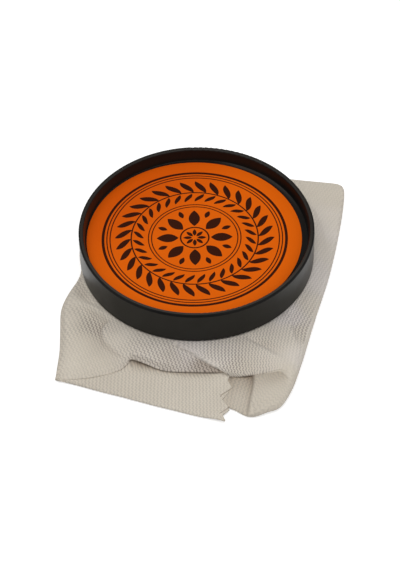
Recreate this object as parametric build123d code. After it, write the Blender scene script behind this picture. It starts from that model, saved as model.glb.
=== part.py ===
"""A cake of rosin in its round plastic holder, label side up, on its folded cloth.

Millimetres, +Z up. The origin is on the holder's axis, at the surface that the cloth lies on.
"""

from build123d import *
import os

# Holder: a round dish with a recess on top and a cup underneath.
HOLDER_R = 30.0
HOLDER_HEIGHT = 9.45
RIM_WALL = 1.2
RIM_EDGE_R = 0.4
RECESS_DEPTH = 3.4
RECESS_TAPER = 0.5
RECESS_CORNER_R = 0.15
WEB = 1.4
CUP_WALL = 1.6
CUP_DRAFT = 0.3
CUP_EDGE_R = 0.35

# Label: a paper disc stuck to the floor of the recess, a little off centre.
LABEL_THICKNESS = 0.15
LABEL_SHIFT = 0.65
LABEL_SHIFT_ANGLE = 195.0
LABEL_EDGE_GAP = 0.2

# Rosin cake: cast into the cup, with a bevelled face that stands out below it.
CAST_GAP = 0.05
CAKE_SHOULDER = 1.1
CAKE_PROUD = 2.2
CAKE_DRAFT = 0.1
CAKE_BEVEL = 0.8

# Cloth: a thin base of folded layers, and a pad of thicker folds on it that carries the holder.
LAYERS_UNDER_CAKE = 1.6
WELL_GAP = 0.35
PAD_GAP = 0.3
BASE_HEIGHT = 1.2
BASE_EDGE_R = 0.5
PAD_EDGE_R = 1.4
# Outlines about the holder's axis, anticlockwise: (x, y, corner radius).
BASE_CORNERS = [
    (-36.0, -38.4, 0.8),
    (6.0, -53.4, 1.0),
    (17.5, -52.2, 6.0),
    (24.2, -41.0, 9.0),
    (40.3, 28.3, 3.0),
    (-18.2, 36.4, 5.0),
    (-30.0, 11.0, 10.0),
    (-30.2, -4.0, 6.0),
    (-35.4, -17.0, 8.0),
]
PAD_CORNERS = [
    (-35.0, -36.8, 3.0),
    (-18.0, -34.0, 5.0),
    (7.0, -40.6, 12.0),
    (22.6, -41.0, 3.0),
    (39.4, 27.6, 3.0),
    (-17.8, 35.6, 5.0),
    (-29.7, 11.0, 10.0),
    (-29.9, -4.0, 6.0),
    (-34.6, -17.0, 8.0),
]

cake_face_z = LAYERS_UNDER_CAKE
cup_edge_z = cake_face_z + CAKE_PROUD
rim_z = cup_edge_z + HOLDER_HEIGHT
recess_mouth_r = HOLDER_R - RIM_WALL
recess_floor_r = recess_mouth_r - RECESS_TAPER
recess_floor_z = rim_z - RECESS_DEPTH
cup_floor_z = recess_floor_z - WEB


def turned(points):
    """A solid of revolution about Z from (radius, height) points."""
    line = Polyline(*[(r, 0, z) for r, z in points], close=True)
    return revolve(make_face(line), Axis.Z)


def edges_at(solid, radius, height):
    """The circular edges of a turned solid at that radius and height."""
    return [
        e
        for e in solid.edges().filter_by(GeomType.CIRCLE)
        if abs(e.radius - radius) < 1e-4 and abs(e.center().Z - height) < 1e-4
    ]


def make_holder():
    cup_mouth_r = HOLDER_R - CUP_WALL
    cup_floor_r = cup_mouth_r - CUP_DRAFT
    dish = turned(
        [
            (0, cup_floor_z),
            (cup_floor_r, cup_floor_z),
            (cup_mouth_r, cup_edge_z),
            (HOLDER_R, cup_edge_z),
            (HOLDER_R, rim_z),
            (recess_mouth_r, rim_z),
            (recess_floor_r, recess_floor_z),
            (0, recess_floor_z),
        ]
    )
    rim = edges_at(dish, HOLDER_R, rim_z) + edges_at(dish, recess_mouth_r, rim_z)
    dish = fillet(rim, RIM_EDGE_R)
    foot = edges_at(dish, HOLDER_R, cup_edge_z) + edges_at(dish, cup_mouth_r, cup_edge_z)
    dish = fillet(foot, CUP_EDGE_R)
    return fillet(edges_at(dish, recess_floor_r, recess_floor_z), RECESS_CORNER_R)


def make_label():
    label_r = recess_floor_r - LABEL_EDGE_GAP - LABEL_SHIFT
    off_centre = Rot(0, 0, LABEL_SHIFT_ANGLE) * Pos(LABEL_SHIFT, 0, recess_floor_z)
    return off_centre * extrude(Circle(label_r), LABEL_THICKNESS)


def cake_profile(gap=0.0):
    """(radius, height) points down the cake's side below the cup, grown by gap."""
    shoulder_r = HOLDER_R - CUP_WALL - CAKE_SHOULDER + gap
    bevel_r = shoulder_r - CAKE_DRAFT
    return [
        (shoulder_r, cup_edge_z),
        (bevel_r, cake_face_z + CAKE_BEVEL),
        (bevel_r - CAKE_BEVEL, cake_face_z),
    ]


def make_cake():
    cup_mouth_r = HOLDER_R - CUP_WALL - CUP_EDGE_R - CAST_GAP
    cup_floor_r = HOLDER_R - CUP_WALL - CUP_DRAFT - CAST_GAP
    return turned(
        [
            (0, cup_floor_z),
            (cup_floor_r, cup_floor_z),
            (cup_mouth_r, cup_edge_z + CUP_EDGE_R),
            *cake_profile(),
            (0, cake_face_z),
        ]
    )


def rounded_outline(corners):
    """The flat face inside a polygon whose corners each have their own radius."""
    outline = make_face(Polyline(*[(x, y) for x, y, _ in corners], close=True))
    for x, y, r in corners:
        corner = outline.vertices().sort_by_distance((x, y, 0))[0]
        outline = fillet(corner, r)
    return outline


def make_cloth():
    base = extrude(rounded_outline(BASE_CORNERS), BASE_HEIGHT)
    base = fillet(base.edges().group_by(Axis.Z)[-1], BASE_EDGE_R)
    pad = extrude(rounded_outline(PAD_CORNERS), cup_edge_z - PAD_GAP)
    pad = fillet(pad.edges().group_by(Axis.Z)[-1], PAD_EDGE_R)
    well = turned([(0, cup_edge_z), *cake_profile(WELL_GAP), (0, cake_face_z)])
    return base + pad - well


PARTS = {
    "holder": make_holder,
    "label": make_label,
    "rosin_cake": make_cake,
    "wrapping_cloth": make_cloth,
}

os.makedirs("parts", exist_ok=True)
for name, make in PARTS.items():
    export_step(make(), f"parts/{name}.step")
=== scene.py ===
"""A cake of rosin in its round black holder, on its folded knit polishing cloth.

The holder, label and rosin are the CAD solids with materials. The cloth is one sheet, built here in sections
round the holder, with its knit laid over it. Lengths are in millimetres until a mesh is made of them.
"""
import math

import bpy
import numpy as np
from mathutils import Matrix, Vector


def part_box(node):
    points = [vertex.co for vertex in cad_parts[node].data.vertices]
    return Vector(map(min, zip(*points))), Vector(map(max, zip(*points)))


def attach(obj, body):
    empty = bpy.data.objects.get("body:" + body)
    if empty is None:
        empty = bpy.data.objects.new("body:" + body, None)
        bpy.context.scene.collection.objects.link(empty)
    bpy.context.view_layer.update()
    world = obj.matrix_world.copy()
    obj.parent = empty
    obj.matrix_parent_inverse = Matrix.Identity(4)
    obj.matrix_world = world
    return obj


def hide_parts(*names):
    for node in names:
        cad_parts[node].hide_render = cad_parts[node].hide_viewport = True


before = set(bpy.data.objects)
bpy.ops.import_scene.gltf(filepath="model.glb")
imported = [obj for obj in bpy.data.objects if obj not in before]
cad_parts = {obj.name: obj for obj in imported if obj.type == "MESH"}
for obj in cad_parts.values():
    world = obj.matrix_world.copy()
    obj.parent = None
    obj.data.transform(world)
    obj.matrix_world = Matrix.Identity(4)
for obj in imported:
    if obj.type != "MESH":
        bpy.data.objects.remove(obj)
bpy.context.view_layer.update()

MM = 0.001
RING_R = 30.0  # the holder's outer wall
RIM_WALL = 1.2
RIM_ROUND = 0.5  # how far in from the outer wall the rim's edge looks rounded
RECESS_DEPTH = 3.4
FOOT_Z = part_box("holder")[0].z / MM
RIM_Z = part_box("holder")[1].z / MM
FLOOR_Z = RIM_Z - RECESS_DEPTH  # floor of the recess that the label lies in


def place(name, data):
    ob = bpy.data.objects.new(name, data)
    bpy.context.scene.collection.objects.link(ob)
    return ob


# ---------------------------------------------------------------- camera
CAMERA_TILT = 47.295  # degrees down from level
CAMERA_ROLL = -0.023161  # radians
CAMERA_AT = (0.57, -389.78, RIM_Z + 401.02)
LENS, SENSOR_WIDTH = 139.0, 36.0


def look_camera():
    """The photo's camera, solved from the two rims of the holder."""
    tilt = math.radians(CAMERA_TILT)
    back = Vector((0, -math.cos(tilt), math.sin(tilt)))
    right, up = Vector((1, 0, 0)), Vector((0, math.sin(tilt), math.cos(tilt)))
    x = right * math.cos(CAMERA_ROLL) + up * math.sin(CAMERA_ROLL)
    y = -right * math.sin(CAMERA_ROLL) + up * math.cos(CAMERA_ROLL)
    cam = place("camera", bpy.data.cameras.new("camera"))
    cam.data.lens, cam.data.sensor_width = LENS, SENSOR_WIDTH
    cam.data.clip_start, cam.data.clip_end = 0.01, 20
    turned = Matrix((x, y, back)).transposed().to_4x4()
    turned.translation = Vector(CAMERA_AT) * MM
    cam.matrix_world = turned
    bpy.context.scene.camera = cam


# ---------------------------------------------------------------- materials
TAU = 2 * math.pi


class Nodes:
    """A short way to write a node tree. Sockets are given by name, or by number as _0, _1 and so on."""

    def __init__(self, name):
        self.mat = bpy.data.materials.new(name)
        self.mat.use_nodes = True
        self.tree = self.mat.node_tree
        self.tree.nodes.clear()
        self.out = self.add("ShaderNodeOutputMaterial")

    def add(self, kind, props=None, **sockets):
        node = self.tree.nodes.new(kind)
        for key, value in (props or {}).items():
            setattr(node, key, value)
        for key, value in sockets.items():
            numbered = key[0] == "_" and key[1:].isdigit()
            self.put(node.inputs[int(key[1:]) if numbered else key.replace("_", " ")], value)
        return node

    def put(self, socket, value):
        if isinstance(value, bpy.types.NodeSocket):
            self.tree.links.new(value, socket)
        elif isinstance(value, bpy.types.Node):
            self.tree.links.new(value.outputs[0], socket)
        else:
            socket.default_value = value

    def math(self, op, a, b=0.0, c=0.0, clamp=False):
        return self.add("ShaderNodeMath", {"operation": op, "use_clamp": clamp}, _0=a, _1=b, _2=c).outputs[0]

    def times(self, first, *others):
        for other in others:
            first = self.math("MULTIPLY", first, other)
        return first

    def radius(self, x, y):
        return self.math("SQRT", self.math("ADD", self.times(x, x), self.times(y, y)))

    def step(self, x, lo, hi):
        """0 at lo, 1 at hi, smooth between and flat beyond."""
        n = self.add("ShaderNodeMapRange", {"interpolation_type": "SMOOTHSTEP"}, Value=x)
        n.inputs["From Min"].default_value, n.inputs["From Max"].default_value = lo, hi
        return n.outputs[0]

    def mix(self, share, a, b):
        return self.add("ShaderNodeMix", {"data_type": "RGBA"}, _0=share, _6=a, _7=b).outputs[2]

    def noise(self, at, scale, detail=2.0):
        return self.add("ShaderNodeTexNoise", Vector=at, Scale=scale, Detail=detail).outputs["Fac"]

    def bump(self, height, distance, strength=1.0):
        return self.add("ShaderNodeBump", Height=height, Distance=distance, Strength=strength).outputs[0]

    def spot(self):
        """Where a point is on the object, in metres."""
        return self.add("ShaderNodeTexCoord").outputs["Object"]

    def in_mm(self, at):
        parts = self.add("ShaderNodeSeparateXYZ", Vector=at).outputs
        return [self.math("MULTIPLY", part, 1 / MM) for part in parts]

    def attribute(self, name):
        return self.add("ShaderNodeAttribute", {"attribute_name": name}).outputs["Fac"]

    def surface(self, **sockets):
        shader = self.add("ShaderNodeBsdfPrincipled", **sockets)
        self.tree.links.new(shader.outputs[0], self.out.inputs[0])
        return self.mat


def srgb(r, g, b):
    def lin(c):
        c /= 255
        return c / 12.92 if c <= 0.04045 else ((c + 0.055) / 1.055) ** 2.4

    return (lin(r), lin(g), lin(b), 1.0)


def plastic():
    """Black plastic with a slight haze, and painted shade and light inside the rim and on its top and edge.
    """
    n = Nodes("black_plastic")
    at = n.spot()
    x, y, z = n.in_mm(at)
    r = n.radius(x, y)
    haze = n.noise(at, 240, 3)
    fine = n.noise(at, 2600)
    wall = n.mix(haze, srgb(40, 39, 36), srgb(45, 44, 41))
    # painted shade inside the rim, most on the right, and a painted highlight on the corner of its floor at
    # the back
    inside = n.mix(n.step(x, 16, 27), srgb(29, 24, 21), srgb(8, 14, 15))
    shine = n.times(n.step(x, 4, 12), n.step(y, 6, 22), n.step(r, 27.2, 27.9))
    floor = n.mix(shine, srgb(27, 24, 22), srgb(56, 52, 49))
    inside = n.mix(n.step(z, FLOOR_Z + 0.1, FLOOR_Z + 0.2), floor, inside)
    # painted light on the rim's flat top, most at the front, and painted shade on its rounded edge, darkest
    # across the middle
    flat = n.mix(n.step(y, -20, 0), srgb(58, 54, 50), srgb(44, 41, 38))
    color = n.mix(n.step(r, RING_R - RIM_WALL, RING_R - RIM_WALL + 0.2), inside, flat)
    outer = n.step(r, RING_R - RIM_ROUND, RING_R - RIM_ROUND + 0.2)
    color = n.mix(outer, color, wall)
    edge = n.times(outer, n.step(z, RIM_Z - 0.75, RIM_Z - 0.5))
    front = n.times(n.step(x, -15, -8), n.step(x, 9, 3))
    color = n.mix(edge, color, n.mix(front, srgb(19, 18, 17), srgb(6, 6, 6)))
    rough = n.math("MULTIPLY_ADD", edge, 0.3, n.math("MULTIPLY_ADD", haze, 0.12, 0.26))
    height = n.math("MULTIPLY_ADD", fine, 0.3, n.times(haze, 0.7))
    return n.surface(Base_Color=color, Roughness=rough, Normal=n.bump(height, 0.00003), IOR=1.45,
                     Specular_IOR_Level=0.145)


PRINT_CENTRE = (-0.5, -0.15)
# rings of the printed ornament: radius and half the line's width
RINGS = ((23.4, 0.36), (22.4, 0.15), (21.6, 0.15), (16.2, 0.18), (11.8, 0.14), (11.0, 0.14), (3.6, 0.2))
# circles of its leaves: how many, radius, length, width, lean, and steps by which the circle is turned
LEAVES = (
    (32, 18.3, 4.2, 2.1, 0.75, 0),
    (32, 14.4, 2.9, 1.5, -0.75, 0),
    (8, 8.8, 2.6, 1.3, 0, 0),
    (8, 6.9, 5.6, 2.9, 0, 0.5),
    (8, 1.8, 2.3, 1.0, 0, 0.5),
)


def paper():
    """The orange label with a plain ornament printed on it in near-black: rings, a wreath and a rosette."""
    n = Nodes("printed_label")
    at = n.spot()
    x, y = (n.math("SUBTRACT", part, centre) for part, centre in zip(n.in_mm(at), PRINT_CENTRE))
    r, turn = n.radius(x, y), n.math("ARCTAN2", y, x)

    def within(d, edge):
        """Ink where d is below 0, with a printed edge that wide on each side."""
        return n.math("SUBTRACT", 1.0, n.step(d, -edge, edge))

    def leaves(count, radius, long, wide, lean, turned):
        """A circle of pointed leaves that lean from the spoke."""
        step = TAU / count
        spoke = n.math("FLOORED_MODULO", n.math("ADD", turn, turned * step), step)
        along = n.math("SUBTRACT", r, radius)
        across = n.math("MULTIPLY_ADD", along, -lean, n.times(n.math("SUBTRACT", spoke, step / 2), r))
        swell = n.math("MULTIPLY_ADD", n.times(along, along), -1 / (long / 2) ** 2, 1.0)
        width = n.times(n.math("MAXIMUM", swell, -1.0), wide / 2)
        return within(n.math("SUBTRACT", n.math("ABSOLUTE", across), width), 0.05)

    ink = 0.0
    for radius, half in RINGS:
        off = n.math("ABSOLUTE", n.math("SUBTRACT", r, radius))
        ink = n.math("MAXIMUM", ink, within(n.math("SUBTRACT", off, half), 0.04))
    for circle in LEAVES:
        ink = n.math("MAXIMUM", ink, leaves(*circle))
    ink = n.times(ink, n.math("MULTIPLY_ADD", n.noise(at, 4200), 0.08, 0.93))
    orange = n.mix(n.noise(at, 90), srgb(218, 94, 2), srgb(223, 98, 3))
    # painted shade where the rim would shade it: darker towards the back left, behind the rim
    behind = n.math("ADD", n.times(x, -0.025), n.times(y, 0.028))
    orange = n.mix(n.times(n.step(behind, 0.1, 0.9), 0.75), orange, srgb(200, 78, 0))
    return n.surface(Base_Color=n.mix(ink, orange, srgb(34, 12, 6)), Roughness=0.62,
                     Normal=n.bump(n.noise(at, 2600, 3), 0.00001, 0.5), Specular_IOR_Level=0.06)


def rosin():
    n = Nodes("amber_rosin")
    at = n.spot()
    color = n.mix(n.noise(at, 120, 3), srgb(120, 48, 8), srgb(160, 74, 16))
    return n.surface(Base_Color=color, Roughness=0.18, IOR=1.54)


WALE, COURSE = 0.86, 0.54  # knit spacing across its columns and along them


def knit():
    """Wavy columns of loops, with dark gaps between them where the cloth is stretched open.

    The map "knit" counts columns and pairs of loops. The attributes "opened", "shade" and "cool" say how far
    the knit is stretched, how much painted shade its fold gets, and how much painted bluish light it gets.
    """
    n = Nodes("knit_cloth")
    uv = n.add("ShaderNodeUVMap", {"uv_map": "knit"}).outputs[0]
    at = n.spot()
    counts = n.add("ShaderNodeSeparateXYZ", Vector=uv).outputs
    wander = n.math("MULTIPLY_ADD", n.noise(at, 900), 0.16, -0.08)
    u, v = n.math("ADD", counts[0], wander), n.math("ADD", counts[1], wander)
    column = n.math("MULTIPLY_ADD", n.math("SINE", n.times(v, TAU)), 0.21, u)
    ridge = n.math("MULTIPLY_ADD", n.math("COSINE", n.times(column, TAU)), 0.5, 0.5)
    gap = n.math("POWER", n.math("SUBTRACT", 1.0, ridge), 1.7)
    loop = n.math("MULTIPLY_ADD", n.math("COSINE", n.times(v, 2 * TAU)), 0.5, 0.5)
    hole = n.times(gap, n.math("MULTIPLY_ADD", loop, 0.5, 0.5))
    yarn = n.noise(n.add("ShaderNodeMapping", Vector=uv, Scale=(9, 3, 1)).outputs[0], 1.6, 3)
    height = n.math("SUBTRACT", n.math("MULTIPLY_ADD", yarn, 0.25, 0.6), n.times(hole, 0.6))
    cream = n.mix(n.noise(at, 160), srgb(213, 205, 191), srgb(206, 197, 183))
    # painted bluish light, where the attribute cool says
    cream = n.mix(n.attribute("cool"), cream, srgb(218, 211, 206))
    color = n.mix(n.math("MULTIPLY", hole, n.attribute("opened"), clamp=True), cream, srgb(73, 62, 66))
    # painted shade in the folds, brown, with the knit's columns still in it
    color = n.mix(n.attribute("shade"), color, n.mix(ridge, srgb(72, 50, 24), srgb(124, 98, 66)))
    return n.surface(Base_Color=color, Roughness=0.95, Normal=n.bump(height, 0.00016, 0.7), Sheen_Weight=0.15,
                     Sheen_Roughness=0.5)


# ---------------------------------------------------------------- the folded sheet
# The sheet is a grid. Its columns go round the holder anticlockwise, from the flap over the front to the
# pinked end that the flap covers. Each column is a section that starts under the cake and runs outwards, over
# and under the folds, and back under the parcel. Every section has the same controls, numbered from 0:
RING = 6  # where it comes out from under the holder
TOP = 11  # the edge of the top layer
LOW = 15  # the first control of the layer below
OUTLINE = 18  # where it turns under the parcel
# rows of the grid from each control to the next
ROWS = [2, 3, 2, 3, 2, 3, 4, 12, 14, 9, 5, 5, 4, 3, 3, 12, 18, 5, 5, 16, 1]

THICKNESS = 0.45
LYING_Z = 0.26  # the middle of the sheet where it lies on the table
MIDDLE = (0, -5)  # of the parcel


def ring_at(phi, r, z):
    angle = math.radians(phi)
    return (r * math.cos(angle), r * math.sin(angle), z)


def well(phi):
    """The sheet under the holder: flat below the cake, up its side, flat below the holder's foot."""
    shape = [(0.06, 1.34), (13, 1.34), (25.4, 1.25), (27.4, 1.1), (28.05, 2.2), (28.5, 3.3)]
    return [ring_at(phi, r, z) for r, z in shape + [(29.9, FOOT_Z - 0.25)]]


def step_to(a, b, d, z):
    """The point d from a towards b (in plan), at height z."""
    length = math.hypot(b[0] - a[0], b[1] - a[1])
    return (a[0] + (b[0] - a[0]) * d / length, a[1] + (b[1] - a[1]) * d / length, z)


def hem(outline, roll, came_from, under):
    """The sheet rolling over its outline and back along the table to the middle of the parcel."""
    x, y, z = outline
    inwards = math.hypot(x - MIDDLE[0], y - MIDDLE[1])
    return [
        step_to(outline, came_from, roll * 1.3, z + roll * 0.85),
        outline,
        step_to(outline, MIDDLE, roll * 1.2, under),
        step_to(outline, MIDDLE, inwards * 0.28, under),
        step_to(outline, MIDDLE, inwards - 0.5, LYING_Z),
    ]


def plain(phi, tops, outline, roll=0.9):
    """A section with one layer to be seen: over the top and round the outline."""
    last = hem(outline, roll, tops[2], LYING_Z)
    shares = (0.2, 0.4, 0.5, 0.6, 0.7, 0.8, 0.9)
    between_them = [tuple(p + (q - p) * share for p, q in zip(tops[2], last[0])) for share in shares]
    return well(phi) + tops + between_them + last


def pleat(phi, tops, edge, roll, tuck, lows, outline, front=0.28, under=LYING_Z):
    """A section with two layers: the top one folds at edge, goes back by tuck, and comes out again below."""
    z = edge[2]
    fold = [
        step_to(edge, tops[2], roll * 1.2, z + roll * 0.9),
        edge,
        step_to(edge, tops[2], roll * 1.2, z - roll * 0.9),
        step_to(edge, tops[2], tuck, z - roll * 0.9),
        step_to(edge, tops[2], tuck, lows[0][2]),
    ]
    return well(phi) + tops + fold + lows + hem(outline, front, lows[1], under)


SECTIONS = [
    # the flap over the front, from its left edge that is turned under, and the crease in the layer below
    pleat(258.2, [(-6.4, -30.9, 2.7), (-1.6, -33.9, 2.4), (3.9, -37.5, 2.3)],
          (9.2, -39.3, 1.6), 0.25, 5, [(-1, -42, 0.28), (0, -46, 0.26)], (1.5, -49.2, 0.26), 0.1),
    pleat(257.4, [(-6.8, -30.2, 3.25), (-2.6, -32.4, 3.2), (2.4, -36.8, 3.25)],
          (7.6, -39.7, 1.95), 0.25, 5, [(1, -42, 0.3), (2, -46, 0.28)], (3.5, -49.2, 0.27), 0.1),
    pleat(260, [(-4.8, -31.2, 3.55), (0.0, -34.1, 3.6), (4.4, -37.4, 3.3)],
          (8.6, -39.95, 1.9), 0.28, 5, [(3.6, -42, 0.6), (4.4, -45.5, 0.4)], (5.6, -48.2, 0.35), 0.1),
    pleat(270, [(0.8, -32.0, 3.6), (4.6, -35.4, 3.7), (7.8, -37.8, 3.3)],
          (10.0, -40.2, 2.2), 0.35, 5, [(8.6, -41.2, 1.5), (8.3, -45, 0.9)], (8.3, -49.4, 0.5)),
    pleat(280, [(6.6, -32.0, 3.6), (9.0, -35.3, 3.8), (11.5, -37.8, 3.4)],
          (12.8, -40.15, 2.5), 0.38, 5, [(12.5, -41.4, 1.7), (12.0, -46.4, 1.0)], (11.0, -51.3, 0.5)),
    pleat(283, [(8.6, -31.4, 3.6), (11.0, -35.0, 3.8), (13.2, -38.0, 3.7)],
          (14.2, -40.2, 2.7), 0.25, 0.4, [(14.3, -41.2, 2.2), (13.8, -46.4, 1.3)], (13.2, -51.75, 0.7), 0.4),
    pleat(291, [(12.6, -30.4, 3.6), (14.4, -34.4, 3.9), (16.2, -37.4, 3.8)],
          (17.0, -39.75, 3.0), 0.18, 0.1, [(17.1, -40.6, 2.75), (16.6, -45.8, 2.1)], (16.3, -50.8, 1.0), 0.8),
    pleat(298, [(16.6, -29.2, 3.5), (18.2, -33.4, 3.8), (19.4, -36.6, 3.8)],
          (20.2, -39.2, 3.2), 0.12, 0.06, [(20.2, -40.0, 2.98), (19.4, -44.8, 2.4)], (19.4, -49.4, 1.0), 0.9),
    plain(304, [(19.4, -27.4, 3.6), (21.3, -32.5, 3.9), (22.4, -38.6, 3.7)], (22.4, -44.3, 1.5), 0.8),
    plain(312, [(22.2, -25.8, 3.7), (23.4, -29.6, 3.7), (24.3, -34.2, 3.4)], (25.2, -36.1, 2.2), 0.45),
    plain(322, [(22.9, -22.0, 3.8), (24.6, -24.4, 3.5), (26.6, -27.0, 2.9)], (27.5, -27.8, 2.0), 0.4),
    plain(333, [(25.6, -16.6, 3.5), (27.2, -17.5, 3.1), (29.1, -18.6, 2.5)], (30.0, -18.9, 1.7), 0.35),
    plain(347, [(29.9, -7.0, 3.2), (31.0, -7.2, 2.6), (32.3, -7.6, 2.1)], (33.3, -7.8, 1.4), 0.3),
    plain(4, [(31.2, 2.4, 3.1), (33.0, 3.2, 2.3), (35.0, 4.0, 1.8)], (36.05, 4.0, 1.2), 0.3),
    plain(20, [(30.6, 11.6, 3.0), (33.6, 13.2, 2.1), (37.1, 14.8, 1.5)], (38.2, 15.3, 1.0), 0.25),
    plain(32, [(28.0, 18.0, 3.0), (32.4, 20.0, 2.0), (38.2, 22.3, 1.3)], (39.2, 22.8, 0.85), 0.25),
    plain(40, [(25.2, 21.2, 3.0), (30.4, 23.2, 2.0), (38.2, 25.7, 1.2)], (39.15, 25.7, 0.8), 0.25),
    plain(45, [(23.2, 22.8, 3.0), (28.6, 24.8, 2.0), (37.2, 26.8, 1.2)], (38.0, 26.95, 0.7), 0.25),
    plain(51, [(20.6, 24.6, 3.0), (25.2, 26.0, 2.2), (31.4, 27.3, 1.4)], (34.6, 27.75, 0.55), 0.3),
    plain(63, [(14.6, 27.4, 3.2), (18.6, 28.0, 2.7), (22.6, 28.5, 1.9)], (27.0, 28.75, 0.7), 0.5),
    plain(84, [(4.0, 30.4, 3.4), (6.6, 30.8, 3.0), (9.0, 31.2, 2.4)], (11.0, 31.8, 0.9)),
    plain(104, [(-7.6, 30.2, 3.4), (-8.0, 31.2, 3.1), (-8.2, 32.4, 2.6)], (-8.4, 34.4, 0.9)),
    plain(118, [(-14.6, 27.6, 3.4), (-15.2, 29.2, 3.1), (-15.8, 31.0, 2.5)], (-16.6, 33.4, 0.9)),
    plain(132, [(-20.8, 22.8, 3.4), (-21.4, 23.8, 3.1), (-22.2, 25.0, 2.5)], (-23.4, 27.0, 0.9)),
    plain(152, [(-26.8, 14.6, 3.4), (-27.4, 15.0, 3.1), (-28.0, 15.4, 2.6)], (-29.0, 16.0, 0.9)),
    plain(172, [(-29.9, 4.2, 3.4), (-30.0, 4.2, 3.1), (-30.0, 4.2, 2.4)], (-29.6, 4.2, 1.0), 0.5),
    plain(187, [(-29.4, -3.6, 3.0), (-29.5, -4.0, 2.9), (-29.5, -4.4, 2.7)], (-29.4, -4.8, 1.6), 0.5),
    plain(194, [(-29.3, -8.2, 2.7), (-30.2, -8.5, 2.7), (-31.0, -8.7, 2.6)], (-32.1, -9.1, 1.4), 0.6),
    plain(203, [(-28.0, -13.6, 3.0), (-30.2, -15.0, 3.0), (-33.0, -15.6, 2.7)], (-34.65, -15.6, 1.3), 0.7),
    plain(212, [(-26.0, -17.0, 3.3), (-29.0, -19.6, 2.9), (-33.2, -22.4, 2.7)], (-34.75, -22.6, 1.2), 0.7),
    plain(220, [(-24.0, -20.4, 3.3), (-27.6, -24.4, 2.8), (-32.6, -29.0, 2.6)], (-34.7, -29.8, 1.1), 0.6),
    plain(226, [(-22.4, -23.0, 3.3), (-26.6, -28.0, 2.7), (-32.4, -33.4, 2.2)], (-35.1, -34.2, 0.9), 0.5),
    plain(230, [(-21.2, -25.2, 3.3), (-25.6, -30.6, 2.6), (-32.4, -36.8, 1.6)], (-35.35, -37.4, 0.6), 0.25),
    plain(231.5, [(-20.6, -26.2, 3.3), (-25.0, -31.6, 2.6), (-32.0, -37.6, 1.5)], (-35.5, -38.5, 0.5), 0.2),
    # the layer below comes out: the fold over it, the notch, and the fold's edge on to the right
    pleat(233.5, [(-20.0, -27.0, 3.3), (-24.2, -32.2, 2.5), (-30.6, -37.4, 1.6)],
          (-34.1, -38.75, 0.9), 0.12, 0.5,
          [(-34.2, -38.9, 0.74), (-34.8, -38.9, 0.64)], (-34.9, -38.6, 0.5), 0.2),
    pleat(237.5, [(-18.8, -28.4, 3.3), (-22.0, -33.0, 2.5), (-26.2, -36.8, 1.8)],
          (-28.6, -38.7, 1.0), 0.1, 2, [(-28.4, -38.9, 0.74), (-28.8, -39.9, 0.7)], (-29.2, -40.7, 0.5)),
    pleat(241, [(-17.6, -29.6, 3.3), (-19.8, -33.0, 2.4), (-22.4, -36.2, 1.8)],
          (-23.6, -37.7, 1.0), 0.1, 3, [(-22.8, -38.0, 0.74), (-23.4, -40.6, 0.72)], (-24.0, -42.7, 0.5)),
    pleat(244, [(-16.4, -30.4, 3.3), (-18.2, -32.9, 2.4), (-19.4, -34.9, 1.9)],
          (-19.8, -36.3, 1.05), 0.12, 4, [(-18.4, -37.6, 0.74), (-18.8, -41.0, 0.72)], (-19.4, -44.3, 0.5)),
    pleat(245.4, [(-15.6, -30.6, 3.3), (-17.0, -32.4, 2.5), (-17.7, -33.4, 2.0)],
          (-18.0, -34.5, 1.25), 0.15, 5, [(-17.0, -37.4, 0.74), (-17.2, -41.2, 0.72)], (-18.0, -44.8, 0.5)),
    pleat(246.2, [(-14.8, -30.9, 3.4), (-16.3, -32.0, 2.9), (-17.0, -32.7, 2.4)],
          (-17.3, -33.4, 1.65), 0.2, 5, [(-16.0, -37.4, 0.74), (-16.2, -41.4, 0.72)], (-16.8, -45.3, 0.5)),
    pleat(248, [(-13.6, -31.2, 3.4), (-15.0, -32.2, 3.2), (-15.8, -33.0, 2.9)],
          (-15.9, -33.7, 1.85), 0.22, 5, [(-14.0, -37.8, 0.74), (-14.2, -42.0, 0.72)], (-14.6, -46.1, 0.5)),
    pleat(251, [(-11.0, -31.0, 3.5), (-12.2, -32.8, 3.3), (-12.8, -34.2, 3.0)],
          (-13.0, -35.1, 1.7), 0.22, 5, [(-10.6, -38.8, 0.74), (-10.8, -43.0, 0.72)], (-11.2, -47.4, 0.5)),
    pleat(254, [(-8.6, -31.2, 3.4), (-9.0, -33.8, 3.1), (-8.8, -35.8, 2.7)],
          (-8.6, -37.03, 1.32), 0.2, 5, [(-6.6, -39.6, 0.74), (-6.6, -44.4, 0.72)], (-6.8, -48.9, 0.5)),
    pleat(256, [(-6.6, -31.4, 3.3), (-5.0, -34.4, 2.9), (-3.2, -36.6, 2.5)],
          (-2.4, -37.8, 1.55), 0.22, 5, [(-1.4, -40.6, 0.86), (-1.2, -45.6, 0.82)], (-0.8, -51.0, 0.5)),
    pleat(257, [(-4.4, -31.4, 3.2), (-0.2, -34.2, 2.8), (3.2, -36.8, 2.5)],
          (4.4, -38.5, 2.0), 0.22, 5, [(4.2, -40.2, 1.3), (4.0, -46.5, 1.1)], (3.8, -52.4, 0.85), 0.2, 0.75),
    pleat(257.4, [(-3.4, -31.0, 3.1), (2.6, -33.6, 2.7), (7.0, -36.6, 2.4)],
          (8.6, -38.4, 1.9), 0.3, 5,
          [(6.4, -39.6, 1.55), (6.2, -46.5, 1.25)], (5.8, -53.2, 1.02), 0.12, 0.86),
]
# spacing of the grid's columns at the sheet's two cut ends, at the front and behind
END_SPACING, FRONT_SPACING, BACK_SPACING = 0.36, 0.56, 1.3
FRONT_Y = -24


def catmull(p0, p1, p2, p3, t):
    """A Catmull-Rom curve from p1 to p2."""
    cubic = 3 * p1 + p3 - p0 - 3 * p2
    return 0.5 * (2 * p1 + (p2 - p0) * t + (2 * p0 - 5 * p1 + 4 * p2 - p3) * t ** 2 + cubic * t ** 3)


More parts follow.
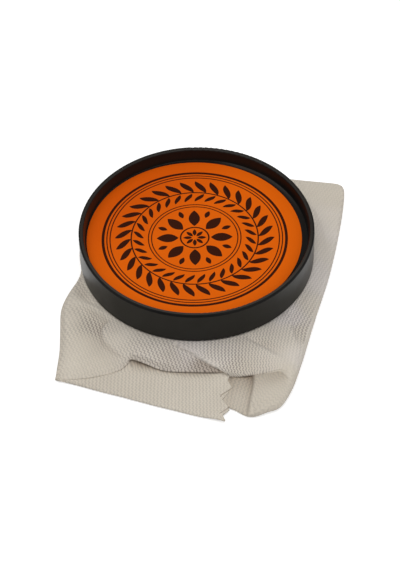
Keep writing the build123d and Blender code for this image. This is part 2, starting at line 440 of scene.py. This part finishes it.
def smooth(a, times, axis):
    a = np.moveaxis(a, axis, 0).copy()
    for _ in range(times):
        a[1:-1] = a[1:-1] * 0.5 + (a[:-2] + a[2:]) * 0.25
    return np.moveaxis(a, 0, axis)


def off(line, g):
    """How far each point of the grid is from a line in plan (positive on the left), and how far along it."""
    x, y = g[..., 0], g[..., 1]
    points = np.array(line, float)
    steps = np.diff(points, axis=0)
    lengths = np.linalg.norm(steps, axis=1)
    starts = np.r_[0, np.cumsum(lengths)]
    nearest = np.full(x.shape, 1e9)
    along, sign = np.zeros(x.shape), np.ones(x.shape)
    for a, step, length, start in zip(points[:-1], steps, lengths, starts):
        t = np.clip(((x - a[0]) * step[0] + (y - a[1]) * step[1]) / length ** 2, 0, 1)
        distance = np.hypot(x - a[0] - t * step[0], y - a[1] - t * step[1])
        side = step[0] * (y - a[1]) - step[1] * (x - a[0])
        nearer = distance < nearest
        nearest = np.where(nearer, distance, nearest)
        along = np.where(nearer, (start + t * length) / starts[-1], along)
        sign = np.where(nearer, np.where(side >= 0, 1.0, -1.0), sign)
    return nearest * sign, along


def soft(d, width):
    return np.exp(-((d / width) ** 2))


def spread(values, along):
    """Values at even steps along a line, at each point's place along it."""
    return np.interp(along, np.linspace(0, 1, len(values)), values)


def ridge(g, line, heights, width, right=None):
    """A crease along a line; its width may differ on its right side."""
    d, along = off(line, g)
    return spread(heights, along) * soft(d, np.where(d > 0, width, right or width))


def ledge(g, line, heights, width, fade):
    """A step up to the left of a line, that fades out over a distance."""
    d, along = off(line, g)
    return spread(heights, along) * (0.5 + 0.5 * np.tanh(d / width * 2)) * soft(np.maximum(d, 0), fade)


def between(places, g):
    """A value given at places, as (x, y, value), carried smoothly over the sheet."""
    weight, total = 0.0, 0.0
    for x, y, value in places:
        w = 1 / ((g[..., 0] - x) ** 2 + (g[..., 1] - y) ** 2 + 4) ** 2
        weight, total = weight + w, total + w * value
    return total / weight


def in_first_half(g):
    """The columns of the flap's half of the sheet, not those of the pinked end's half."""
    return (np.arange(g.shape[1]) < g.shape[1] // 2)[None, :]


LEFT_RIDGE = [(-32.4, -13.6), (-28.7, -16.4), (-24.8, -18.9), (-22.0, -20.6)]
OVER_LEFT = [
    (-18.6, -23.2), (-20.8, -22.4), (-22.4, -22.2), (-23.4, -22.9), (-24.0, -24.2), (-24.1, -26.0),
    (-23.7, -28.2), (-22.6, -29.8), (-21.2, -31.4), (-19.4, -32.8), (-17.2, -33.7),
]  # edge of the fold over the left part
BULGE = [(21.8, -17.0), (22.7, -20.4), (23.2, -23.4), (23.3, -26.1), (23.9, -29.1), (24.8, -32)]
CREASE = [(13.6, -39.0), (13.3, -42.0), (12.8, -44.9), (12.2, -47.4), (11.7, -50.9)]
FLAP_EDGE = [(-6.4, -30.9), (-1.6, -33.9), (3.9, -37.5)]


def top_relief(g):
    # left: a dip by the ring, a short ridge, the fold over the left part and its foot, and the valley by it
    z = ridge(g, [(-31.2, -9.0), (-29.2, -11.9), (-26.0, -15.4)], [-0.3, -0.9, -0.4], 1.4)
    z += ridge(g, LEFT_RIDGE, [0.2, 0.9, 1.2, 0.9], 0.9)
    z += ledge(g, OVER_LEFT, [0.3, 0.4, 0.5, 0.5, 0.5, 0.5, 0.4, 0.3, 0.2, 0.1, 0], 0.3, 5.0)
    foot = [(x - 0.4, y - 0.2) for x, y in OVER_LEFT[3:]]
    z += ridge(g, foot, [-0.6, -0.9, -1.0, -1.0, -0.9, -0.7, -0.3, 0], 0.3, 5.4)
    valley = [(-31.3, -13.9), (-29.0, -16.9), (-26.6, -19.8), (-24.0, -21.0), (-19.0, -21.6)]
    z += ridge(g, valley, [0, -0.8, -1.0, -0.9, -0.5], 1.2, 3.0)
    # right: the ridge over the flap, the valley behind it, and the bulge with its steep right side
    over_flap = [(10.0, -28.6), (13.9, -31.6), (16.3, -33.6), (18.7, -35.9), (20.8, -38.2)]
    z += ridge(g, over_flap, [0.3, 0.6, 0.6, 0.4, 0.0], 0.9, 3.2)
    z += ridge(g, [(12.7, -28.6), (15.6, -30.9), (18.8, -33.0), (22.4, -35.4)], [-0.8, -1.2, -0.8, 0.0], 1.3)
    z += ledge(g, BULGE, [-0.4, -1.1, -1.4, -1.3, -0.8, 0], 0.7, 3.0)
    # the part that goes under the flap's left edge
    z += ridge(g, [(-8.5, -31.0), (-4.0, -35.0), (1.0, -38.4)], [-0.2, -0.4, -0.2], 2.2)
    return z


def low_relief(g):
    z = ledge(g, CREASE, [1.1, 1.1, 1.0, 0.9, 0.4], 0.35, 5.0)
    z += ridge(g, [(20.4, -40.8), (17.8, -42.4), (14.6, -43.0)], [-0.6, -0.8, -0.3], 2.4)
    return z


OPENED_TOP = [
    (-28, -28, 0.12), (-31, -20, 0.18), (-24.8, -24, 0.95), (-26.2, -22, 0.95), (-27.4, -20, 0.9),
    (-29, -17.6, 0.65), (-30, -15, 0.1), (-27.5, -16.8, 0.1), (-24.6, -18.6, 0.1), (-29, -11.6, 0.5),
    (-26.5, -14.5, 0.45), (-22.5, -21, 0.4), (-23, -33, 0.15), (-21.5, -26, 0.35), (-19.6, -28, 0.2),
    (-16, -30, 0.6), (-12, -33, 0.68), (-6, -34, 0.7), (-19, -31.4, 0.4), (0, -37, 0.85), (-1.5, -31.3, 0.5),
    (4, -33, 0.7), (8, -37, 0.8), (14, -37, 0.5), (17, -30, 0.6), (20.5, -30.5, 0.45), (20.5, -27, 0.48),
    (21, -35, 0.2), (23, -39, 0.1), (25.2, -25.5, 0.8), (26.4, -21, 0.6), (28.5, -16, 0.4), (31, -8, 0.24),
    (33, 6, 0.14), (36, 20, 0.1), (-34, -34, 0.12),
]
OPENED_LOW = [(-10, -45, 0.3), (0, -45, 0.3), (10, -45, 0.18), (18, -45, 0.11)]


def openness(g, kinds):
    """How far the knit is stretched open: most where the cloth is pulled over the edge of the cake."""
    on_top = (kinds < TOP + 0.5)[:, None]
    opened = np.where(on_top, between(OPENED_TOP, g), between(OPENED_LOW, g))
    opened = opened * np.interp(kinds, [5, RING + 0.5], [0.08, 1])[:, None]
    opened = opened * (1 - 0.6 * soft(off(FLAP_EDGE, g)[0], 1.1) * in_first_half(g))
    return np.clip(opened, 0, 1.2)


# painted shade on the top layer, given at places as (x, y, value)
SHADE_TOP = [
    (-19, -27, 0.05), (-14, -31, 0.08), (-8, -34, 0.13), (-9, -30.6, 0.02), (-13, -35, 0.02), (-27, -27, 0),
    (-26, -16, 0), (6, -36, 0), (4, -33, 0), (20, -34, 0), (10, -38.8, 0.07), (30, -8, 0), (35, 20, 0.07),
    (35.5, 8, 0), (34.5, 14, 0.02), (0, 30, 0),
]
CAST_SHIFT = (4.0, 4.2)  # the holder's painted shadow is its outline, moved by this
CAST_TURN = 28  # degrees round it, from where its edge goes straight on behind the holder


def cast_shade(g):
    """The holder's shadow, painted on the cloth at its right, which fades out towards the front."""
    x, y = g[..., 0] - CAST_SHIFT[0], g[..., 1] - CAST_SHIFT[1]
    facing = np.clip(np.arctan2(y, x), -math.pi / 2, math.radians(CAST_TURN))
    d = x * np.cos(facing) + y * np.sin(facing) - RING_R
    return np.interp(g[..., 1], [0, 4, 16], [0, 0.9, 1]) * np.clip(0.5 - (d + 0.65) / 0.4, 0, 1)


def top_shade(g):
    """Painted shade on the top layer: beside its folds, in its hollows and as the holder's painted shadow."""
    d, along = off(OVER_LEFT, g)
    by_fold = np.interp(along, [0, 0.15, 0.3, 0.6, 0.8, 1], [0.08, 0.12, 0.16, 0.18, 0.1, 0])
    shade = by_fold * soft(d, 5.0) * (d < 0.1)
    shade = shade + 0.1 * soft(off([(-30.6, -9.5), (-28.4, -13.0)], g)[0], 1.8)
    # less painted shade along the ridge at the left, which stands as lit, most on its farther side
    shade = shade * (1 - 0.8 * soft(off(LEFT_RIDGE, g)[0] - 0.4, 1.3))
    d, along = off([(-5, -31), (-1, -34), (3, -37), (6, -39)], g)
    by_flap = np.interp(along, [0, 0.3, 0.5, 1], [0, 0.09, 0.44, 0.5])
    shade = shade + by_flap * soft(d, 5.0) * ~in_first_half(g)
    shade = shade + between(SHADE_TOP, g)
    d, along = off(BULGE, g)
    shade = shade + np.interp(along, [0, 0.3, 0.7, 1], [0, 0.02, 0.02, 0]) * soft(d, 3.0) * (d > -0.1)
    return shade + 0.1 * cast_shade(g)


def depth_shade(g, kinds):
    """How much painted shade the folds get: on the top layer, on the layer below, and in the pleat between
    them.
    """
    k, x, y = kinds[:, None], g[..., 0], g[..., 1]
    first = in_first_half(g)
    low = (k > LOW - 0.5) & (k < OUTLINE)
    shade = top_shade(g) * (k > RING + 0.5) * (k < TOP + 0.5)
    # the layer below the flap, on either side of its crease
    d, _ = off(CREASE, g)
    under_flap = 0.08 + 0.1 * soft(x - 7, 2) + 0.18 * soft(d, 2.6) + 0.32 * soft(y + 40.5, 3.6)
    beside = 0.3 * soft(y + 39.5, 4.4 - 0.2 * (x - 13)) * np.clip((21.4 - x) / 0.8, 0, 1)
    deep = (d < 0.1) * (x > 3) * under_flap + (d > 0.1) * (0.1 + beside)
    shade = shade + deep * first * low
    # the layer below the pinked end's half, in the notch and towards its left
    d, along = off([(-17.4, -33.8), (-13.0, -36.0), (-9.0, -37.8)], g)
    shade = shade + np.interp(along, [0, 0.4, 1], [0.16, 0.1, 0]) * soft(d, 1.6) * ~first * low
    shade = shade + np.interp(x, [-22, -5], [0.06, 0]) * ~first * (k > LOW - 0.5)
    # inside the pleat, where it goes back far enough
    inside = np.clip((k - TOP - 1.2) / 0.5, 0, 1) * np.clip((LOW + 0.1 - k) / 0.5, 0, 1)
    edge, tuck = g[np.argmin(abs(kinds - TOP))], g[np.argmin(abs(kinds - TOP - 2))]
    depth = np.hypot(edge[:, 0], edge[:, 1]) - np.hypot(tuck[:, 0], tuck[:, 1])
    strength = np.interp(edge[:, 0], [-19, -16.5, 3, 6, 9, 10], [0.0, 1.0, 1.0, 0.2, 0.3, 1.0])
    shade = shade + 0.6 * inside * np.clip((depth - 1) / 3, 0, 1) * strength
    return np.clip(shade, 0, 0.85)


# painted bluish light beside the holder, given at places as (x, y, value)
COOL = [
    (23, -22, 1.2), (30, -9, 0.85), (33, 8, 0.5), (33, 3, 0.35), (35.5, 11, 0.3), (35.5, 6, 0.6),
    (25, -27, 0.2), (16, -30, 0.2), (21, -30, 0.2), (5, -35, 0.5), (10, -39, 0.1), (-2, -31, 0.9),
    (-9, -33, 0.35), (-12, -30, 0.35), (-17, -25, 0.25), (-22, -28, 0.15), (-27, -16, 0.05), (29, -19, 0.2),
    (37, 24, 0), (32, 25, 0), (25, -36, 0.5), (16, -36, 0.2), (22, -41, 0), (0, -46, 0), (14, -46, 0),
    (-30, -4, 0.2), (-31, -28, 0), (-27, -35, 0), (-25, 18, 0.3), (0, 30, 0.3),
]


def coolness(g, kinds):
    """How much painted bluish light the cloth gets, beside the holder."""
    return between(COOL, g) * ((kinds[:, None] < TOP + 0.5) | (g[..., 0] > 20))


def cloth_grid():
    """The sheet as a grid of points, and each row's place between the controls."""
    net = np.array(SECTIONS)
    columns = []
    for i in range(len(net) - 1):
        four = [net[max(i - 1, 0)], net[i], net[i + 1], net[min(i + 2, len(net) - 1)]]
        apart = np.linalg.norm(net[i + 1, RING - 1:] - net[i, RING - 1:], axis=1).max()
        at_end = i < 4 or i > len(net) - 5
        at_front = net[i, TOP - 1, 1] < FRONT_Y
        spacing = END_SPACING if at_end else FRONT_SPACING if at_front else BACK_SPACING
        n = max(4, int(apart / spacing))
        columns += [catmull(*four, t) for t in np.arange(n) / n]
    columns = np.array(columns + [net[-1]])
    rows, kinds = [], []
    for k, n in enumerate(ROWS):
        for t in np.arange(n) / n:
            rows.append(columns[:, k] * (1 - t) + columns[:, k + 1] * t)
            kinds.append(k + t)
    kinds = np.array(kinds + [len(ROWS)])
    g = smooth(smooth(np.array(rows + [columns[:, -1]]), 4, 0), 2, 1)
    # the relief sets in outside the holder, and each layer has its own
    off_ring = np.clip((np.hypot(g[..., 0], g[..., 1]) - RING_R) / 1.5, 0, 1)
    on_top = np.clip(kinds - RING, 0, 1) * np.clip(TOP - 0.5 - kinds, 0, 1)
    on_low = np.clip(kinds - LOW + 1, 0, 1) * np.clip(OUTLINE + 0.5 - kinds, 0, 1)
    g[..., 2] += top_relief(g) * on_top[:, None] * off_ring + low_relief(g) * on_low[:, None]
    g = smooth(g, 1, 0)
    g[..., 2] = np.maximum(g[..., 2], LYING_Z - 0.01)
    return g, kinds


# the cut end's teeth on its upper and lower ply: y, and how far to the right the cloth reaches there
TEETH_UPPER = [
    (-60, 5.8), (-53.5, 5.8), (-51.1, 4.5), (-49.2, 6.8), (-45.6, 4.7), (-43.2, 7.8), (-40.9, 6.8),
    (-38, 8.0),
]
TEETH_LOWER = [
    (-60, 6.0), (-53.4, 6.0), (-51.2, 5.3), (-49.9, 7.1), (-46.5, 5.3), (-43.3, 7.6), (-40.9, 6.6),
    (-38, 7.4),
]


def pink(g, kinds):
    """Cuts the end of the layer below the fold in teeth, on its upper and lower ply."""
    rows = kinds >= LOW - 0.3
    end = g[rows, -1]
    upper, lower = (np.interp(end[:, 1], *np.array(teeth).T) for teeth in (TEETH_UPPER, TEETH_LOWER))
    shift = (np.where(kinds[rows] < OUTLINE, upper, lower) - end[:, 0]) * (end[:, 1] < -30)
    near = np.clip(1 - (end[:, None, 0] - g[rows, :, 0]) / 5.0, 0, 1)
    near = near * (np.arange(g.shape[1]) > g.shape[1] * 0.8)
    g[rows, :, 0] += shift[:, None] * near ** 2
    return g


# ---------------------------------------------------------------- the knit laid over the sheet
# how the columns lean at places on the top, in degrees from straight towards the front
LEAN_FLAP = [
    (-4, -32, 0), (2, -35, 4), (6, -37, 8), (12, -36, 8), (18, -33, 8), (22, -30, 12), (22, -37, 14),
    (22.4, -42.5, -50), (20, -42.5, -55), (25, -20, 30), (30, -8, 34), (35, 8, 34), (33, 22, 34), (0, 30, 10),
]
LEAN_PINKED = [
    (-31, -25, -27), (-28, -33, -28), (-22, -34, -28), (-24.5, -23, -14), (-27, -19, -18), (-29, -12, -36),
    (-12, -33, -16), (-4, -36, -14), (3, -37, -14), (-30, -8, -26), (-25, 15, -20), (0, 30, 10),
]
LEAN_LOW = ([-30, 6, 8, 13.0, 13.6, 18, 22], [0, 2, 22, 26, -55, -62, -62])  # by x, on the layer below
# the columns lie closer together where the cloth slopes away
CLOSE = [
    (-25, -23, 1.18), (-30, -13, 1.15), (-31, -30, 1.05), (-14, -32, 1.0), (6, -36, 1.0), (22, -32, 1.1),
    (17, -46, 1.15), (8, -45, 1.0), (-10, -45, 1.0), (32, 0, 1.05), (0, 0, 1.0),
]
# and the loops lie closer along them where it is pulled open
TIGHT = [
    (5, -35, 1.2), (0, -31, 1.2), (-8, -34, 1.18), (-20, -27, 1.1), (12, -35, 1.15), (20, -30, 1.1),
    (25, -20, 1.1), (-30, -27, 1.0), (-24, -37, 1.0), (-10, -45, 1.0), (0, -46, 1.0), (14, -46, 1.0),
    (22, -40, 1.0), (35, 10, 1.0), (0, 0, 1.0), (0, 30, 1.0),
]
HOLD = 1e-6  # keeps the map from drifting


def knit_ways(g, kinds):
    """The direction along the knit's columns and the one across them, at every point of the sheet."""
    down, across = np.gradient(g, axis=0), np.gradient(g, axis=1)
    e = down / np.linalg.norm(down, axis=2, keepdims=True)
    f = across - (across * e).sum(2, keepdims=True) * e
    f /= np.maximum(np.linalg.norm(f, axis=2, keepdims=True), 1e-9)

    def angle(lean):
        turn = np.radians(lean)
        way = np.stack([-np.sin(turn), -np.cos(turn), 0 * turn], -1)
        return np.arctan2((way * f).sum(2), (way * e).sum(2))

    def row_near(kind):
        return np.argmin(abs(kinds - kind))

    k = kinds[:, None]
    a = angle(np.where(in_first_half(g), between(LEAN_FLAP, g), between(LEAN_PINKED, g)))
    # layers turned over keep the angle that they have at the fold
    folded = np.broadcast_to(a[row_near(TOP - 0.8)], a.shape)
    one_layer = single_columns(g, kinds)
    a = np.where((k > LOW) & ~one_layer, angle(np.interp(g[..., 0], *LEAN_LOW)), a)
    a = np.where((k >= TOP - 0.8) & (k <= LOW) & ~one_layer, folded, a)
    a = np.where(k >= OUTLINE - 0.5, np.broadcast_to(a[row_near(OUTLINE - 0.5)], a.shape), a)
    cos, sin = np.cos(a)[..., None], np.sin(a)[..., None]
    return cos * e + sin * f, cos * f - sin * e


def single_columns(g, kinds):
    """The columns with one layer, where the sheet doesn't go back on itself after its top edge."""
    at_edge, past_it = (g[np.argmin(abs(kinds - kind)), :, :2] for kind in (TOP, TOP + 2))
    return (np.hypot(*at_edge.T) < np.hypot(*past_it.T))[None, :]


def knit_map(g, kinds):
    """Lays the knit over the sheet with the least stretch: u across its columns and v along them, in mm."""
    along, across = knit_ways(g, kinds)
    k = kinds[:, None]
    shown = ((k > LOW) & (k < OUTLINE - 0.4)) | ((k < TOP - 0.8) & (k > 4))
    shown = shown | (single_columns(g, kinds) & (k < OUTLINE))
    trust = np.where(shown, 1.0, 0.1)
    di, dj = np.diff(g, axis=0), np.diff(g, axis=1)
    wi = trust[1:] * np.minimum(1 / (np.linalg.norm(di, axis=2) + 1e-4), 20) * 0.5
    wj = trust[:, 1:] * np.minimum(1 / (np.linalg.norm(dj, axis=2) + 1e-4), 20) * 0.5
    # the columns change direction at the crease
    seam = (abs(off(CREASE, g)[0]) < 0.4) & in_first_half(g) & (k > LOW)
    wj = wj * np.where(seam[:, 1:], 0.02, 1.0)
    diag = np.full(g.shape[:2], HOLD)
    diag[1:] += wi
    diag[:-1] += wi
    diag[:, 1:] += wj
    diag[:, :-1] += wj

    def gather(pi, pj):
        """Adds up, at every point, what its four steps on the grid pull."""
        r = np.zeros(g.shape[:2])
        r[1:] += wi * pi
        r[:-1] -= wi * pi
        r[:, 1:] += wj * pj
        r[:, :-1] -= wj * pj
        return r

    def solve(way, x):
        """Conjugate gradients for the map whose slope follows the given way over the sheet, from x on."""
        bi = (di * (way[1:] + way[:-1]) / 2).sum(2)
        bj = (dj * (way[:, 1:] + way[:, :-1]) / 2).sum(2)
        x = x.copy()
        r = gather(bi - np.diff(x, axis=0), bj - np.diff(x, axis=1)) - HOLD * x
        z = r / diag
        p, rz = z.copy(), (r * z).sum()
        for _ in range(900):
            ap = gather(np.diff(p, axis=0), np.diff(p, axis=1)) + HOLD * p
            alpha = rz / (p * ap).sum()
            x += alpha * p
            r -= alpha * ap
            z = r / diag
            rz, last = (r * z).sum(), rz
            p = z + rz / last * p
        return x

    u = solve(across * between(CLOSE, g)[..., None], g[..., 0])
    v = solve(along * between(TIGHT, g)[..., None], -g[..., 1])
    return u, v


def grid_mesh(name, g):
    rows, columns = g.shape[:2]
    idx = np.arange(rows * columns).reshape(rows, columns)
    quads = np.stack([idx[:-1, :-1], idx[1:, :-1], idx[1:, 1:], idx[:-1, 1:]], -1).reshape(-1, 4)
    me = bpy.data.meshes.new(name)
    me.from_pydata((g.reshape(-1, 3) * MM).tolist(), [], quads.tolist())
    me.polygons.foreach_set("use_smooth", [True] * len(me.polygons))
    # the pin hole where the columns meet doesn't round off the flat sheet about it
    ends = np.zeros(2 * len(me.edges), int)
    me.edges.foreach_get("vertices", ends)
    hole = (ends.reshape(-1, 2) < columns).all(1)
    me.attributes.new("sharp_edge", "BOOLEAN", "EDGE").data.foreach_set("value", hole)
    return me


def make_cloth():
    g, kinds = cloth_grid()
    g = pink(g, kinds)
    u, v = knit_map(g, kinds)
    me = grid_mesh("wrapping_cloth_sheet", g)
    corners = np.zeros(len(me.loops), int)
    me.loops.foreach_get("vertex_index", corners)
    counts = np.stack([u.ravel()[corners] / WALE, v.ravel()[corners] / (2 * COURSE)], -1)
    me.uv_layers.new(name="knit").data.foreach_set("uv", counts.ravel())
    for name, measure in (("opened", openness), ("shade", depth_shade), ("cool", coolness)):
        me.attributes.new(name, "FLOAT", "POINT").data.foreach_set("value", measure(g, kinds).ravel())
    ob = place("wrapping_cloth_sheet", me)
    s = ob.modifiers.new("thickness", "SOLIDIFY")
    s.thickness, s.offset = THICKNESS * MM, 0.0
    me.materials.append(knit())
    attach(ob, "cloth")
    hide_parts("wrapping_cloth")


# ---------------------------------------------------------------- floor and light
FLOOR_HALF = 3.0  # metres


def make_floor():
    """A plain floor that takes the part's shadow, with a glow to look at that lights nothing."""
    n = Nodes("floor_white")
    path = n.add("ShaderNodeLightPath").outputs
    seen = n.math("MAXIMUM", path["Is Camera Ray"], path["Is Glossy Ray"])
    seen = n.math("MAXIMUM", seen, path["Is Transmission Ray"])
    lit = n.add("ShaderNodeBsdfDiffuse", Color=(0.8, 0.8, 0.8, 1))
    glow = n.add("ShaderNodeEmission", Color=(1, 1, 1, 1), Strength=n.times(seen, 0.5))
    both = n.add("ShaderNodeAddShader", _0=lit, _1=glow)
    n.tree.links.new(both.outputs[0], n.out.inputs[0])
    me = bpy.data.meshes.new("floor")
    s = FLOOR_HALF
    me.from_pydata([(-s, -s, 0), (s, -s, 0), (s, s, 0), (-s, s, 0)], [], [(0, 1, 2, 3)])
    me.materials.append(n.mat)
    place("floor", me)


WHITE = (1, 1, 1)
# where each lamp hangs over the part and its size, in metres, its power and its colour
LAMPS = {
    "key": (Vector((-3.9, -2.5, 9.6)).normalized() * 0.9, 0.10, 0.5, (1.0, 0.975, 0.93)),
    "top": (Vector((0, 0, 0.9)), 0.5, 1.9, WHITE),
    "left": (Vector((-0.60, -0.10, 0.66)), 0.7, 1.0, (1.0, 0.98, 0.95)),
    "right": (Vector((0.66, 0.0, 0.60)), 0.6, 1.5, WHITE),
    "front": (Vector((0.25, -0.62, 0.56)), 0.7, 1.7, WHITE),
    "back": (Vector((-0.37, 0.37, 0.73)), 0.5, 1.3, WHITE),
}
WORLD_LIGHT = 0.22


def make_light():
    """A white world that is dimmer as a light than it looks, and round lamps that point at the part."""
    world = bpy.data.worlds.new("studio")
    world.use_nodes = True
    tree = world.node_tree
    background = tree.nodes["Background"]
    background.inputs[0].default_value = (1, 1, 1, 1)
    path = tree.nodes.new("ShaderNodeLightPath")
    strength = tree.nodes.new("ShaderNodeMix")
    strength.inputs[2].default_value, strength.inputs[3].default_value = WORLD_LIGHT, 1.0
    tree.links.new(path.outputs["Is Camera Ray"], strength.inputs[0])
    tree.links.new(strength.outputs[0], background.inputs[1])
    bpy.context.scene.world = world
    for name, (at, size, power, color) in LAMPS.items():
        lamp = bpy.data.lights.new(name, "AREA")
        lamp.shape, lamp.size, lamp.energy, lamp.color = "DISK", size, power, color
        ob = place(name, lamp)
        ob.location = at
        ob.rotation_mode = "QUATERNION"
        ob.rotation_quaternion = (-at).to_track_quat("-Z", "Y")


look_camera()
make_floor()
make_light()
for node, look in (("holder", plastic), ("label", paper), ("rosin_cake", rosin)):
    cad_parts[node].data.materials.clear()
    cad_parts[node].data.materials.append(look())
make_cloth()

scene = bpy.context.scene
scene.view_settings.view_transform = "Standard"
